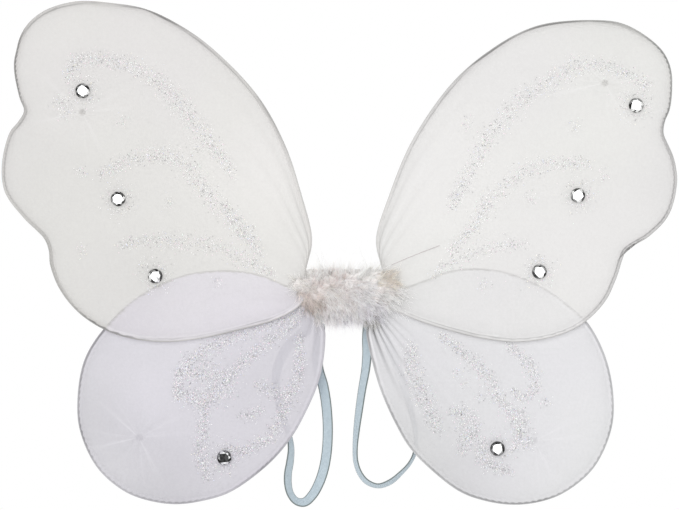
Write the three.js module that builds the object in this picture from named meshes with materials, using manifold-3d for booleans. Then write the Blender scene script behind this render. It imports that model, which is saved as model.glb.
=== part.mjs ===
// Child's fairy wings: four net-covered wire wings bound at a furry hub, with two elastic arm loops.
// Millimetres, +Z up. The origin is on the rear face of the back patch, which rests on the wearer's
// back; the decorated side faces -Y, and -X is the left of someone looking at the decorated side.
import * as THREE from 'three';
import { mergeVertices } from 'three/addons/utils/BufferGeometryUtils.js';
import Module from 'manifold-3d';

const wasm = await Module();
wasm.setup();

// Depths, measured from the wearer's back at y = 0.
const patchThickness = 1.5;
const tabPlane = -2.3;
const lowerPlane = -9;
const upperPlane = -13.5;
const hubPlane = (lowerPlane + upperPlane) / 2;

// Wire, and the net that is stretched over both faces of each wire loop.
const wireRadius = 1;
const wireSides = 8;
const netThickness = 0.4;
const clearance = 0.3;
const cavityHalf = wireRadius + clearance;
const netHalf = cavityHalf + netThickness;

// Hub and stems: where each length of wire starts and ends, as distances from the middle.
const legHalfGap = 1.15;
const stemHeight = 4;
const hubWireEnd = 9.5;
const stemStart = 16.5;
const stemEnd = 21.5;
const wingWireStart = 22.3;
const cavityStart = 24.4;
const netStart = 26.3;
const bandHalfDepth = 4.55;
const bandHalfHeight = 7.2;
const patchHalfWidth = 33;
const patchHalfHeight = 17;

// Marabou wrapping.
const centreFurSize = [10.5, 8, 21];
const furWindowHalfDepth = 4.9;
const furWindowHalfHeight = 8;
const sideFurX = 30;
const sideFurHalfWidth = 10;
const sideFurHalfHeight = 19;
const frontFurFace = -16.1;
const frontFurHeight = 5.4;
const rearFurFace = -6.4;
const rearFurHeight = 3.2;

// Stick-on gems and the knots that close the ends of the nets.
const gemRadius = 5.5;
const gemTableRadius = 3.1;
const gemGirdleHeight = 1.2;
const gemHeight = 4;
const gemFacets = 12;
const knotRadius = 3;
const knotHeight = 3;

// Elastic arm loops.
const strapWidth = 8;
const strapThickness = 1;
const strapTabTop = -6;
const strapTabEnd = -22.4;
const strapStart = -23.5;
const strapSteps = 56;
const strapTabX = [18, 27.2];

const colours = {
  wire: [0xe9e7e3, 0.45, 0],
  net: [0xe7e5e4, 0.8, 0],
  fur: [0xd6cbc8, 1, 0],
  tape: [0xe4e0dc, 0.85, 0],
  felt: [0xf0eeec, 1, 0],
  elastic: [0xc4d6e0, 0.8, 0],
  thread: [0xd9cbb8, 0.9, 0],
  gem: [0xd4d8dc, 0.15, 0.6],
};

// Outer edge of each wing as [x, z], from the inner end of its upper side round to its lower side.
// The wings are bent by hand, so no two are quite mirror images.
const upperLeftEdge = [
  [-28.6, 9.5], [-27.2, 20], [-23.6, 38.7], [-32, 74.5], [-44, 110.3], [-64, 146], [-98.3, 181.8],
  [-123.7, 199.7], [-148, 211], [-172.8, 215.3], [-200, 216.5], [-225, 208.6], [-239, 195],
  [-243.6, 181.8], [-245.9, 168.4], [-242.1, 146], [-238.4, 133.4], [-248.8, 119.2], [-254.8, 94.6],
  [-252.6, 74.5], [-239.9, 56.6], [-221.3, 36.5], [-219, 20.9], [-212.3, 3], [-198.2, -14.9],
  [-178, -28.3], [-157, -35], [-133.4, -37.3], [-105, -34.5], [-77.5, -28.3], [-48, -19.5],
  [-31.5, -9],
];
const upperRightEdge = [
  [28.6, 9.5], [27.2, 20], [23.6, 38.7], [34.3, 74.5], [49.2, 110.3], [72.3, 146], [90, 165.5],
  [111, 181.8], [130, 193], [149, 199.7], [183.3, 202.6], [208.6, 199.7], [235.4, 181.8],
  [243, 168], [244.4, 155], [242.9, 137.1], [237.7, 120.7], [245.1, 101.3], [248.1, 83.4],
  [241.4, 56.6], [223.5, 38.7], [210.8, 31.3], [203.4, 11.9], [195.2, -6], [179.5, -22.4],
  [160.9, -32], [131.1, -37.3], [105, -35], [79, -29], [48, -18.5], [31.5, -9],
];
const lowerLeftEdge = [
  [-40, 3.8], [-62.6, 13], [-86.4, 16.4], [-118.5, 13], [-152, -2.2], [-178.8, -26.8],
  [-193.7, -50.7], [-198.9, -82], [-196.7, -104.3], [-184, -131.1], [-163.2, -149],
  [-144, -156], [-124.4, -158.3], [-104, -155.5], [-84.2, -149], [-55.1, -127.4], [-38.7, -108],
  [-29.4, -91.6], [-20.1, -70.8], [-16, -56], [-14.3, -42], [-13.8, -30], [-17, -21.5],
  [-25, -15.5], [-28.7, -10],
];
const lowerRightEdge = [
  [40, 2.2], [60.3, 8.9], [75.2, 14.9], [97.6, 17.9], [123.7, 14.2], [153.5, 0.7], [168.4, -10.4],
  [182.5, -23.8], [195.9, -50.7], [201.2, -82], [198.9, -104.3], [186.3, -131.1], [165.4, -149],
  [148, -156], [127.4, -158.7], [106, -156], [86.4, -149], [64.1, -131.9], [48.4, -115.5],
  [38, -97.6], [29.4, -79], [24.6, -65.6], [20.6, -50.7], [17.6, -38], [16.6, -28],
  [19.5, -20.5], [25, -15.5], [28.7, -10],
];

const wings = [
  {
    name: 'upper_left', side: -1, plane: upperPlane, stem: stemHeight, edge: upperLeftEdge, steps: 84,
    gems: [[-194.4, 149.7], [-168, 69.3], [-140.4, 11.9]], knot: [-195, 134],
  },
  {
    name: 'upper_right', side: 1, plane: upperPlane, stem: stemHeight, edge: upperRightEdge, steps: 84,
    gems: [[217.2, 138.9], [173.9, 71.9], [145.3, 15.2]], knot: [194.4, 155.7],
  },
  {
    name: 'lower_left', side: -1, plane: lowerPlane, stem: -stemHeight, edge: lowerLeftEdge, steps: 60,
    gems: [[-89.1, -123.4]], knot: [-152.9, -108.4],
  },
  {
    name: 'lower_right', side: 1, plane: lowerPlane, stem: -stemHeight, edge: lowerRightEdge, steps: 60,
    gems: [[114.3, -116.6]], knot: [142, -111],
  },
];

// Arm loops as [x, z, y, turn]: turn is the angle in degrees between the ribbon's width and the wing
// plane, so at 0 its full face shows from the front and at 90 only its edge does.
const leftStrapRoute = [
  [-18, strapStart, -2.3, 0], [-18.1, -27, -2.3, 2], [-19, -36, -1.8, 5], [-19.8, -46, -1, 8],
  [-19.3, -57, 0, 12], [-15.6, -70, 0.8, 16], [-13.5, -82, 1.4, 20], [-12.3, -95, 1.8, 22],
  [-12.1, -107, 2, 22], [-12.9, -120, 2.3, 22], [-15.1, -132.6, 2.5, 22], [-18.6, -143, 2.6, 24],
  [-23.6, -152, 2.6, 30], [-29.6, -157.4, 2.6, 38], [-35.6, -156.6, 2.6, 50], [-40, -151.4, 2.6, 52],
  [-41.9, -144, 2.6, 48], [-41.9, -136, 2.6, 46], [-40.4, -127, 2.5, 48], [-39.6, -117, 2.4, 56], [-41.4, -106, 2.2, 62],
  [-45.5, -94, 1.9, 54], [-49, -82, 1.6, 48], [-51, -70, 1.2, 44], [-49.5, -56, 0.4, 36],
  [-43, -42.5, -0.6, 24], [-34, -33.5, -1.6, 10], [-28.2, -28.5, -2.2, 2], [-27.2, strapStart, -2.3, 0],
];
const rightStrapRoute = [
  [18, strapStart, -2.3, 0], [17.9, -27, -2.3, 6], [17.4, -36, -1.8, 18], [17.3, -46, -0.8, 30],
  [16.2, -58, 0.2, 38], [13.6, -73, 1, 44], [11.4, -88, 1.5, 48], [9.5, -103, 1.9, 56],
  [8.4, -117, 2.2, 64], [8.9, -127, 2.4, 64], [11.8, -135.6, 2.6, 62], [17, -142, 2.6, 60],
  [25.3, -145.2, 2.6, 62], [34.3, -142.4, 2.6, 58], [42, -136.2, 2.6, 64], [49.2, -128.3, 2.5, 70],
  [52.9, -120.5, 2.4, 70], [53.8, -106, 2.2, 66], [50, -88, 1.7, 58], [44, -68, 1, 46],
  [36.5, -48, -0.3, 30], [31, -37, -1.4, 14], [28, -29, -2.2, 2], [27.2, strapStart, -2.3, 0],
];

function paint(kind) {
  const [color, roughness, metalness] = colours[kind];
  return new THREE.MeshStandardMaterial({ color, roughness, metalness });
}

function piece(name, geometry, kind) {
  const mesh = new THREE.Mesh(geometry, paint(kind));
  mesh.name = name;
  return mesh;
}

function welded(geometry) {
  geometry.deleteAttribute('normal');
  geometry.deleteAttribute('uv');
  return mergeVertices(geometry, 1e-4);
}

function toSolid(geometry) {
  const merged = welded(geometry);
  return new wasm.Manifold(new wasm.Mesh({
    numProp: 3,
    vertProperties: new Float32Array(merged.attributes.position.array),
    triVerts: new Uint32Array(merged.index.array),
  }));
}

function toGeometry(solid) {
  const mesh = solid.getMesh();
  const geometry = new THREE.BufferGeometry();
  geometry.setAttribute('position', new THREE.BufferAttribute(mesh.vertProperties, 3));
  geometry.setIndex(new THREE.BufferAttribute(mesh.triVerts, 1));
  return geometry;
}

// A flat [x, z] outline given a thickness along Y, with its middle on the plane.
function slab(outline, plane, halfThickness) {
  const shape = new THREE.Shape(outline.map(([x, z]) => new THREE.Vector2(x, z)));
  const geometry = new THREE.ExtrudeGeometry(shape, { depth: 2 * halfThickness, bevelEnabled: false });
  geometry.rotateX(Math.PI / 2);
  geometry.translate(0, plane + halfThickness, 0);
  return geometry;
}

// Moves an open path sideways by a distance; positive moves it to the left of its own direction.
function offsetPath(points, distance) {
  return points.map(([x, z], i) => {
    const [x0, z0] = points[Math.max(i - 1, 0)];
    const [x1, z1] = points[Math.min(i + 1, points.length - 1)];
    const length = Math.hypot(x1 - x0, z1 - z0);
    return [x - (distance * (z1 - z0)) / length, z + (distance * (x1 - x0)) / length];
  });
}

// Sweeps a section along a path. The section's points are [across, deep]: across lies in the wing
// plane, square to the path, and deep is square to both.
function sweep(path, sectionAt) {
  const sides = sectionAt(0).length;
  const positions = [];
  const index = [];
  const back = new THREE.Vector3(0, 1, 0);
  path.forEach((centre, i) => {
    const ahead = path[Math.min(i + 1, path.length - 1)].clone().sub(path[Math.max(i - 1, 0)]).normalize();
    const across = new THREE.Vector3().crossVectors(back, ahead).normalize();
    const deep = new THREE.Vector3().crossVectors(ahead, across);
    for (const [a, d] of sectionAt(i)) {
      const corner = centre.clone().addScaledVector(across, a).addScaledVector(deep, d);
      positions.push(corner.x, corner.y, corner.z);
    }
  });
  for (let i = 0; i < path.length - 1; i += 1) {
    for (let k = 0; k < sides; k += 1) {
      const a = i * sides + k;
      const b = i * sides + ((k + 1) % sides);
      index.push(a, b, a + sides, b, b + sides, a + sides);
    }
  }
  const last = (path.length - 1) * sides;
  for (let k = 1; k < sides - 1; k += 1) {
    index.push(0, k + 1, k);
    index.push(last, last + k, last + k + 1);
  }
  const geometry = new THREE.BufferGeometry();
  geometry.setAttribute('position', new THREE.Float32BufferAttribute(positions, 3));
  geometry.setIndex(index);
  return geometry;
}

function circleSection(radius, sides) {
  return Array.from({ length: sides }, (_, k) => {
    const angle = (2 * Math.PI * k) / sides;
    return [radius * Math.cos(angle), radius * Math.sin(angle)];
  });
}

function wireAlong(points, plane) {
  const section = circleSection(wireRadius, wireSides);
  return sweep(points.map(([x, z]) => new THREE.Vector3(x, plane, z)), () => section);
}

function straightWire(fromX, toX, plane, z) {
  return wireAlong([[fromX, z], [toX, z]], plane);
}

function roundedRectangle(halfWidth, halfHeight, radius, centre = [0, 0], PathType = THREE.Shape) {
  const [cx, cy] = centre;
  const path = new PathType();
  const corners = [[1, -1, -Math.PI / 2], [1, 1, 0], [-1, 1, Math.PI / 2], [-1, -1, Math.PI]];
  for (const [sx, sy, start] of corners) {
    const x = cx + sx * (halfWidth - radius);
    const y = cy + sy * (halfHeight - radius);
    path.absarc(x, y, radius, start, start + Math.PI / 2, false);
  }
  path.closePath();
  return path;
}

// A band round a pair or two of wires that run along X, with a slot for each pair.
function band(fromX, toX, centre, halfSize, slots) {
  const shape = roundedRectangle(halfSize[0], halfSize[1], halfSize[0] * 0.8, centre);
  for (const slot of slots) {
    const half = [cavityHalf, legHalfGap + cavityHalf];
    shape.holes.push(roundedRectangle(half[0], half[1], wireRadius, slot, THREE.Path));
  }
  const length = Math.abs(toX - fromX);
  const geometry = new THREE.ExtrudeGeometry(shape, { depth: length, bevelEnabled: false, curveSegments: 4 });
  geometry.rotateX(Math.PI / 2);
  geometry.rotateZ(Math.PI / 2);
  geometry.translate(Math.min(fromX, toX), 0, 0);
  return geometry;
}

// A dome that stands on a face square to Y, pointing along Y by its sign.
function dome(centre, face, size, sign) {
  const [halfWidth, height, halfHeight] = size;
  const profile = [new THREE.Vector2(0, 0)];
  const rings = 5;
  for (let i = 0; i <= rings; i += 1) {
    const angle = ((Math.PI / 2) * i) / rings;
    const radius = i === rings ? 0 : Math.cos(angle);
    profile.push(new THREE.Vector2(radius, Math.sin(angle)));
  }
  const geometry = new THREE.LatheGeometry(profile, 20);
  geometry.scale(halfWidth, height, halfHeight);
  if (sign < 0) geometry.rotateX(Math.PI);
  geometry.translate(centre[0], face, centre[1]);
  return geometry;
}

function gem(centre, face) {
  const profile = [
    [0, 0], [gemRadius - 0.5, 0], [gemRadius, gemGirdleHeight], [gemTableRadius, gemHeight], [0, gemHeight],
  ].map(([r, h]) => new THREE.Vector2(r, h));
  const geometry = new THREE.LatheGeometry(profile, gemFacets);
  geometry.rotateX(Math.PI);
  geometry.translate(centre[0], face, centre[1]);
  return geometry;
}

// The whole outer edge of a wing, with its straight stem at both ends.
function wingEdge({ side, stem, edge, steps }) {
  const leg = legHalfGap + netHalf;
  const stemXs = [wingWireStart, cavityStart, netStart];
  const top = stemXs.map((x) => [side * x, stem + leg]);
  const bottom = stemXs.map((x) => [side * x, stem - leg]).reverse();
  const knots = [top[2], ...edge, bottom[0]].map(([x, z]) => new THREE.Vector3(x, 0, z));
  const curve = new THREE.CatmullRomCurve3(knots, false, 'centripetal');
  const round = curve.getSpacedPoints(steps).map((p) => [p.x, p.z]);
  return [top[0], top[1], ...round, bottom[1], bottom[2]];
}

// The net is one closed bag round the wire loop, open only at the stem.
function netBag(edge, plane, inward) {
  const skin = slab(edge.slice(2, -2), plane, netHalf);
  const hollow = slab(offsetPath(edge, inward * netThickness).slice(1, -1), plane, cavityHalf);
  return toGeometry(toSolid(skin).subtract(toSolid(hollow)));
}

function wing(spec) {
  const { name, side, plane, stem, gems, knot } = spec;
  const group = new THREE.Group();
  const edge = wingEdge(spec);
  const inward = -side;
  const tieHalf = [cavityHalf + 0.8, legHalfGap + cavityHalf + 0.85];
  group.add(piece(`${name}_wire`, wireAlong(offsetPath(edge, inward * netHalf), plane), 'wire'));
  group.add(piece(`${name}_net`, netBag(edge, plane, inward), 'net'));
  const tieEnds = [side * (wingWireStart + 0.5), side * (netStart - clearance)];
  const tie = band(tieEnds[0], tieEnds[1], [plane, stem], tieHalf, [[plane, stem]]);
  group.add(piece(`${name}_tie`, tie, 'thread'));
  const knotSize = [knotRadius, knotHeight, knotRadius];
  group.add(piece(`${name}_knot`, dome(knot, plane + netHalf + clearance, knotSize, 1), 'thread'));
  gems.forEach((centre, i) => {
    group.add(piece(`${name}_gem_${i + 1}`, gem(centre, plane - netHalf - clearance), 'gem'));
  });
  return group;
}

// The four lengths of wire that run side by side along X through the hub or a stem.
function parallelWires(prefix, fromX, toX) {
  const group = new THREE.Group();
  const pairs = [['upper', upperPlane, stemHeight], ['lower', lowerPlane, -stemHeight]];
  for (const [pair, plane, height] of pairs) {
    const top = straightWire(fromX, toX, plane, height + legHalfGap);
    const bottom = straightWire(fromX, toX, plane, height - legHalfGap);
    group.add(piece(`${prefix}_${pair}_top`, top, 'wire'));
    group.add(piece(`${prefix}_${pair}_bottom`, bottom, 'wire'));
  }
  return group;
}

function bindingTape(name, fromX, toX) {
  const slots = [[upperPlane, stemHeight], [lowerPlane, -stemHeight]];
  const geometry = band(fromX, toX, [hubPlane, 0], [bandHalfDepth, bandHalfHeight], slots);
  return piece(name, geometry, 'tape');
}

// The turn of marabou round the hub: an oval bead with a window along X for the tape and the wires.
function centreFur() {
  const bead = new THREE.SphereGeometry(1, 24, 16);
  bead.scale(...centreFurSize);
  bead.translate(0, hubPlane, 0);
  const window = new THREE.BoxGeometry(60, 2 * furWindowHalfDepth, 2 * furWindowHalfHeight);
  window.translate(0, hubPlane, 0);
  return piece('centre_fur', toGeometry(toSolid(bead).subtract(toSolid(window))), 'fur');
}

function backPatch() {
  const shape = roundedRectangle(patchHalfWidth, patchHalfHeight, 8);
  const geometry = new THREE.ExtrudeGeometry(shape, {
    depth: patchThickness, bevelEnabled: false, curveSegments: 6,
  });
  geometry.rotateX(Math.PI / 2);
  return piece('back_patch', geometry, 'felt');
}

function strapTab(name, x) {
  const height = strapTabTop - strapTabEnd;
  const geometry = new THREE.BoxGeometry(strapWidth, strapThickness - 0.2, height);
  geometry.translate(x, tabPlane, strapTabEnd + height / 2);
  return piece(name, geometry, 'elastic');
}

function hub() {
  const group = new THREE.Group();
  group.add(backPatch());
  group.add(bindingTape('centre_tape', -hubWireEnd + 0.5, hubWireEnd - 0.5));
  group.add(parallelWires('hub_wire', -hubWireEnd, hubWireEnd));
  group.add(centreFur());
  for (const [name, side] of [['left', -1], ['right', 1]]) {
    group.add(strapTab(`${name}_strap_tab_inner`, side * strapTabX[0]));
    group.add(strapTab(`${name}_strap_tab_outer`, side * strapTabX[1]));
  }
  return group;
}

function stems(name, side) {
  const group = new THREE.Group();
  group.add(bindingTape(`${name}_stem_tape`, side * (stemStart + 0.5), side * (stemEnd - 0.5)));
  group.add(parallelWires(`${name}_stem_wire`, side * stemStart, side * stemEnd));
  const frontSize = [sideFurHalfWidth, frontFurHeight, sideFurHalfHeight];
  const rearSize = [sideFurHalfWidth, rearFurHeight, sideFurHalfHeight];
  group.add(piece(`${name}_fur_front`, dome([side * sideFurX, 0], frontFurFace, frontSize, -1), 'fur'));
  group.add(piece(`${name}_fur_back`, dome([side * sideFurX, 0], rearFurFace, rearSize, 1), 'fur'));
  return group;
}

function armLoop(name, route) {
  const spots = route.map(([x, z, y]) => new THREE.Vector3(x, y, z));
  const leans = route.map(([x, z, , turn]) => new THREE.Vector3(x, turn, z));
  const places = new THREE.CatmullRomCurve3(spots, false, 'centripetal');
  const turns = new THREE.CatmullRomCurve3(leans, false, 'centripetal');
  const path = [];
  const angles = [];
  for (let i = 0; i <= strapSteps; i += 1) {
    path.push(places.getPoint(i / strapSteps));
    angles.push(THREE.MathUtils.degToRad(turns.getPoint(i / strapSteps).y));
  }
  const corners = [[-1, -1], [1, -1], [1, 1], [-1, 1]];
  const geometry = sweep(path, (i) => corners.map(([w, t]) => {
    const across = (w * strapWidth) / 2;
    const through = (t * strapThickness) / 2;
    const c = Math.cos(angles[i]);
    const s = Math.sin(angles[i]);
    return [across * c - through * s, across * s + through * c];
  }));
  return piece(name, geometry, 'elastic');
}

const fairyWings = new THREE.Group();
fairyWings.name = 'fairy_wings';
fairyWings.add(hub());
fairyWings.add(stems('left', -1));
fairyWings.add(stems('right', 1));
wings.forEach((spec) => fairyWings.add(wing(spec)));
fairyWings.add(armLoop('left_strap', leftStrapRoute));
fairyWings.add(armLoop('right_strap', rightStrapRoute));

export default fairyWings;
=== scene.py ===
"""Child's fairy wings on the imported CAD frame: net-covered wire wings, marabou hub, gems and arm loops."""
import math

import bpy
import numpy as np
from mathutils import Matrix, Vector


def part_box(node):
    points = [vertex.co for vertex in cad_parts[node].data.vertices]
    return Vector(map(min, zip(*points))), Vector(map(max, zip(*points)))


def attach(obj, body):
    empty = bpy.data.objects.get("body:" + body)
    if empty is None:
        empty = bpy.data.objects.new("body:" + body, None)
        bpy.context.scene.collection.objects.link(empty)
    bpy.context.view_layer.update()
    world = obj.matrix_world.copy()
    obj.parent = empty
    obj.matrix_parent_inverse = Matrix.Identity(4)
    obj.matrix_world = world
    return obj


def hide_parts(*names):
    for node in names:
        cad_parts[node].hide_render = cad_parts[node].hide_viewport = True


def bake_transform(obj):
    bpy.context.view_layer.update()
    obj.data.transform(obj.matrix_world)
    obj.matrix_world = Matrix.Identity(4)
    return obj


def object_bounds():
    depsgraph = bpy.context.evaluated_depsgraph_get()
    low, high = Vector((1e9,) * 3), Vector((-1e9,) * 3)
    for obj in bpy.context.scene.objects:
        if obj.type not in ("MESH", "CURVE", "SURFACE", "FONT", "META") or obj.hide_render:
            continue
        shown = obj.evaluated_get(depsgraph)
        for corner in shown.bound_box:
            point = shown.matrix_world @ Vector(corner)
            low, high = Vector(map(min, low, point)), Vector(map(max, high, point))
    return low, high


MM = 0.001
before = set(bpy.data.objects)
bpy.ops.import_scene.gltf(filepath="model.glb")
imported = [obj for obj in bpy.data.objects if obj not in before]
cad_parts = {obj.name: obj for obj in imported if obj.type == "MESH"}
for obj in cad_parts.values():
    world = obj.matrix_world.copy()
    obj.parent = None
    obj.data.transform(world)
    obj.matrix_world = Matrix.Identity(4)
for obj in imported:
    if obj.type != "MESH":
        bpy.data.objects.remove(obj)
cad_box = [list(corner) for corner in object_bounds()]

# Driving sizes, in millimetres, and light strengths, counts and shares.
WIRE_RADIUS = 0.95
NET_RADIUS = 1.2
EDGE_TO_WIRE = 1.3
NET_ROWS = 96
NET_COLUMNS = 160
STRAP_WIDTH = 8.0
STRAP_THICKNESS = 1.0
FLOOR_DROP = 140.0
FLOOR_HALF_SIZE = 1500.0
CAMERA_DISTANCE = 3000.0
CAMERA_AIM = (-3.35, -11, 27.6)
VIEW_WIDTH = 505.855
FRONT_FILL = 1.1
REAR_FILL = 0.6
NET_SHADE = 0.82
# Painted light: nets are made lighter where an upper and a lower wing overlap, and beside that edge on the
# lower one, in place of the light that goes through real nylon.
OVERLAP_PAINTED_LIGHT = {"left": (1.22, 1.21, 1.29), "right": (1.19, 1.195, 1.21)}
SHADOW_LIFT = {"upper": 0.0, "lower": 0.28}
SHADOW_WIDTH = 3.5
# The angles, round the wire, of the rings where the net turns from its front to its back.
ARC_ANGLES = np.radians([-60, -30, 0, 30, 60])

# For each wing: where its outline turns from top to tip to bottom, the net's tint, its pleats, and
# soft patches of painted light and shade on the net as (x, z), radius and amount.
WINGS = {
    "upper_left": {
        "corners": (0.46, 0.73), "tint": (0.81, 0.796, 0.77), "knot": (-195, 134),
        "inner_line": 0.9, "stem_rim": 0.2,
        "pleats": 8, "gather": 0.2, "gather_at": 0.1, "cover": 0.50,
        "shade_spots": [((-50, 90), 60, 0.10), ((-225, 95), 50, -0.05), ((-170, 0), 60, -0.07),
                  ((-130, 200), 60, 0.02), ((-205, 125), 18, 0.03)],
    },
    "upper_right": {
        "corners": (0.43, 0.72), "tint": (0.86, 0.853, 0.83), "knot": (194.4, 155.7),
        "inner_line": 0.9, "stem_rim": 0.35,
        "pleats": 8, "gather": 0.2, "gather_at": 0.1, "cover": 0.50,
        "shade_spots": [((60, 90), 60, 0.05), ((238, 85), 30, -0.04), ((160, 10), 40, 0.02),
                  ((200, 195), 40, -0.03)],
    },
    "lower_left": {
        "corners": (0.35, 0.69), "tint": (0.77, 0.757, 0.80), "knot": (-152.9, -108.4),
        "inner_line": 0.1, "stem_rim": 0.35,
        "pleats": 10, "gather": 1.3, "gather_at": 0.2, "cover": 0.66,
        "shade_spots": [((-185, -95), 35, -0.10), ((-130, -150), 40, -0.12), ((-150, -75), 25, 0.05),
                  ((-60, -70), 40, -0.04), ((-100, -15), 40, 0.06)],
    },
    "lower_right": {
        "corners": (0.35, 0.69), "tint": (0.835, 0.835, 0.845), "knot": (142, -111),
        "inner_line": 0.0, "stem_rim": 1.0,
        "pleats": 15, "gather": 1.6, "gather_at": 0.86, "cover": 0.66,
        "shade_spots": [((180, -60), 50, 0.05), ((80, -140), 40, -0.10), ((50, -100), 30, -0.06),
                  ((140, -130), 35, 0.02)],
    },
}

# Painted shade on the net by its distance in from the wire's middle, in millimetres: a dark line of shade
# along the wire on the wing's outside, and one along its inside; the wire itself also shows through the net
# there.
OUTER_SHADE_LINE = [(-1.25, 0.55), (-0.7, 0.5), (-0.1, 0.28), (0.6, 0.42), (1.0, 0.9), (2.0, 1.0)]
INNER_SHADE_LINE = [(-1.25, 0.55), (-0.7, 0.82), (0.6, 0.90), (1.0, 0.66), (1.4, 0.36), (1.9, 0.92), (2.6, 1.0)]
RAMP_START, RAMP_END = -2.0, 4.0

# Glitter strokes as [x, z] points, each with its width and how dense it is.
GLITTER = {
    "upper_left": [
        ([(-204, 158), (-203, 169), (-189, 174), (-167, 171), (-145, 162), (-118, 135), (-104, 117),
          (-92, 102), (-83, 87)], 12, 0.55),
        ([(-182, 87), (-159, 98), (-137, 102), (-118, 95), (-107, 80), (-85, 54), (-61, 28)], 11, 0.55),
        ([(-167, 35), (-145, 39), (-115, 37), (-92, 33), (-70, 22), (-51, 13)], 11, 0.4),
        ([(-89, 65), (-77, 50), (-66, 39)], 9, 0.5),
        ([(-211, 143), (-205, 132)], 14, 0.5),
    ],
    "upper_right": [
        ([(228, 154), (191, 169), (172, 167), (150, 154), (131, 143), (120, 128), (105, 113),
          (98, 98), (90, 83), (79, 61)], 12, 0.5),
        ([(183, 95), (161, 96), (139, 92), (124, 83), (113, 72), (94, 46), (79, 31)], 11, 0.5),
        ([(135, 35), (116, 35), (94, 28), (72, 17), (64, 10)], 10, 0.35),
    ],
    "lower_left": [
        ([(-25, -13), (-70, -28), (-96, -40), (-115, -51), (-122, -60), (-124, -80)], 10, 0.9),
        ([(-33, -21), (-59, -39), (-77, -54), (-89, -69)], 8, 0.9),
        ([(-118, -62), (-100, -60), (-88, -66), (-104, -80), (-120, -78)], 17, 0.8),
        ([(-104, -80), (-105, -103), (-107, -121), (-101, -140)], 9, 0.9),
        ([(-66, -69), (-40, -80)], 10, 0.7),
        ([(-77, -92), (-61, -88)], 9, 0.7),
        ([(-33, -32), (-34, -62), (-40, -77), (-48, -95), (-55, -107), (-74, -118), (-89, -118)], 9, 0.9),
    ],
    "lower_right": [
        ([(49, -39), (51, -58), (55, -69), (64, -88), (70, -103)], 12, 0.8),
        ([(72, -32), (86, -43), (99, -54), (109, -66), (116, -80), (125, -92), (131, -107),
          (125, -118)], 9, 1.0),
        ([(121, -38), (135, -51), (142, -62), (142, -73), (131, -79), (125, -72)], 8, 0.9),
        ([(79, -88), (94, -92), (98, -103), (90, -110)], 10, 0.8),
        ([(86, -96), (92, -110), (88, -120)], 12, 0.6),
        ([(131, -88), (134, -104), (136, -116)], 12, 0.7),
        ([(103, -110), (103, -125), (112, -130), (124, -134)], 9, 0.9),
    ],
}
GLITTER_DOTS = {
    "upper_left": [(-165, 127), (-111, 107), (-195, 89), (-131, 66), (-95, 7), (-195, 31)],
    "upper_right": [(92, 126), (171, 124), (139, 70), (193, 87), (104, 66), (104, 6)],
    "lower_left": [],
    "lower_right": [(84, -60), (150, -82), (90, -69), (101, -78)],
}
GRAIN_SIZES = (0.16, 0.38)
GRAIN_LIFT = 0.35
GRAINS_PER_SQUARE_MM = 1.9
GRAINS_PER_DOT = 40
STROKE_STEPS = 160
GRAINS_PER_GEM = 190
GLITTER_TO_WIRE = 2.5
# Grain tones: silver, grey and tinted flakes, and two dark greys that are painted dark reflections of flakes.
GLITTER_TONES = np.array([
    (0.88, 0.88, 0.88), (0.74, 0.74, 0.76), (0.88, 0.68, 0.78), (0.68, 0.82, 0.73), (0.84, 0.80, 0.66),
    (0.42, 0.41, 0.43), (0.66, 0.70, 0.88), (0.22, 0.22, 0.22),
])
GLITTER_SHARES = [0.29, 0.14, 0.10, 0.06, 0.05, 0.17, 0.05, 0.14]

# The stones whose wide top facets get dark painted reflections instead of bright ones, with those facets'
# tones.
DARK_REFLECTION_GEMS = {
    "upper_left_gem_3": [0.25, 0.35, 0.5, 0.95],
    "lower_left_gem_1": [0.01, 0.02, 0.03],
}


# ---------------------------------------------------------------- curves and meshes
def smooth_path(points, steps):
    """An open centripetal Catmull-Rom curve through the points, at equal steps of its length."""
    p = np.asarray(points, float)
    p = np.vstack([2 * p[0] - p[1], p, 2 * p[-1] - p[-2]])
    dense = []
    for a, b, c, d in zip(p[:-3], p[1:-2], p[2:-1], p[3:]):
        t1, t2, t3 = np.cumsum([max(np.linalg.norm(v[:3]) ** 0.5, 1e-9) for v in (b - a, c - b, d - c)])
        t = np.linspace(t1, t2, 16, endpoint=False)[:, None]
        ab = a + (b - a) * t / t1
        bc = b + (c - b) * (t - t1) / (t2 - t1)
        cd = c + (d - c) * (t - t2) / (t3 - t2)
        abc = ab + (bc - ab) * t / t2
        bcd = bc + (cd - bc) * (t - t1) / (t3 - t1)
        dense.append(abc + (bcd - abc) * (t - t1) / (t2 - t1))
    return even_steps(np.vstack(dense + [p[-2:-1]]), steps)


def even_steps(points, steps):
    """The polyline resampled at equal steps of its length."""
    length = np.concatenate([[0], np.cumsum(np.linalg.norm(np.diff(points, axis=0), axis=1))])
    at = np.linspace(0, length[-1], steps + 1)
    return np.stack([np.interp(at, length, points[:, k]) for k in range(points.shape[1])], axis=1)


def offset_path(points, distance):
    """The open [x, z] path moved sideways, to the left of its own direction if distance is positive."""
    along = np.gradient(points, axis=0)
    along /= np.linalg.norm(along, axis=1)[:, None]
    return points + distance * np.stack([-along[:, 1], along[:, 0]], axis=1)


def span(node):
    """A CAD node's lowest and highest corners, in millimetres."""
    low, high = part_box(node)
    return np.array(low) / MM, np.array(high) / MM


def ring_faces(rings, sides):
    """Quads between each ring of points and the next, and a face over each end."""
    faces = [
        (i * sides + k, i * sides + (k + 1) % sides, (i + 1) * sides + (k + 1) % sides, (i + 1) * sides + k)
        for i in range(rings - 1)
        for k in range(sides)
    ]
    faces.append(tuple(reversed(range(sides))))
    faces.append(tuple((rings - 1) * sides + k for k in range(sides)))
    return faces


def add_object(name, data):
    obj = bpy.data.objects.new(name, data)
    bpy.context.scene.collection.objects.link(obj)
    return obj


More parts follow.
